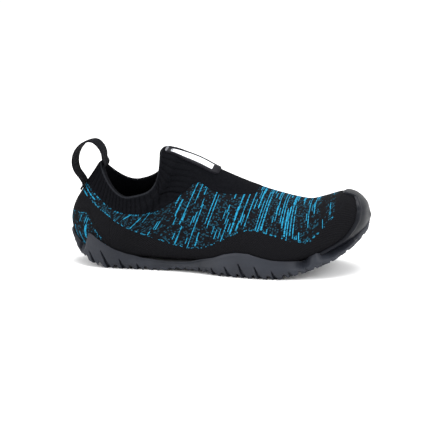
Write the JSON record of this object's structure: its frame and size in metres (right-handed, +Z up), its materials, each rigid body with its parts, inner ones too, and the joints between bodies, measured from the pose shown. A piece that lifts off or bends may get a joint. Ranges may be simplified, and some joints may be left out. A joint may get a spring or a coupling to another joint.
{
  "type": "water_shoe",
  "caption": "Slip-on knit water shoe for the right foot, with a ribbed cuff, heel pull loop, rubber sole with a toe bumper, and a sole that flexes at the ball.",
  "frame": {"origin": "on the ground, under the middle of the shoe's bounding box", "axes": "X along the shoe with the toe at +X, Y across with the inner side of the foot at +Y, Z up"},
  "size_m": [0.2835, 0.101, 0.1178],
  "materials": {
    "rubber_sole": "satin moulded",
    "rubber_bumper": "semi-gloss moulded",
    "foam": "matt closed-cell foam",
    "patterned_knit": "jacquard knit, black with blue stripes",
    "black_knit": "ribbed knit",
    "neoprene": "jersey-faced neoprene",
    "board": "non-woven fibre board",
    "insole_foam": "cloth-faced foam",
    "badge": "satin",
    "white_inlay": "gloss",
    "webbing": "narrow woven ribbon"
  },
  "bodies": {
    "rearfoot": {"outsole_heel": "rubber_sole", "midsole_heel": "foam", "knit_quarters": "patterned_knit", "vamp_flex_zone": "patterned_knit", "instep_gore": "black_knit", "ribbed_cuff": "black_knit", "neoprene_lining": "neoprene", "heel_counter": "board", "strobel_board": "board", "insole": "insole_foam", "instep_badge": "badge", "badge_stripe": "white_inlay", "loop_outer_tail": "webbing", "loop_inner_tail": "webbing"},
    "forefoot": {"outsole_toe": "rubber_sole", "midsole_toe": "foam", "toe_bumper": "rubber_bumper", "knit_toe_box": "patterned_knit", "toe_puff": "board"},
    "pull_loop": {"pull_loop": "webbing"}
  },
  "joints": [
    {"name": "ball_flex", "type": "hinge", "parent": "rearfoot", "child": "forefoot", "pos_m": [0.062, 0, 0.009], "axis": [0, -1, 0], "range_deg": [0, 32], "stiffness_Nm_per_rad": 1.5, "deforming": ["vamp_flex_zone", "neoprene_lining", "strobel_board", "insole"]},
    {"name": "loop_swing", "type": "hinge", "parent": "rearfoot", "child": "pull_loop", "pos_m": [-0.119, 0, 0.0865], "axis": [0, -1, 0], "range_deg": [-30, 20], "stiffness_Nm_per_rad": 0.02, "deforming": ["loop_outer_tail", "loop_inner_tail"]}
  ]
}
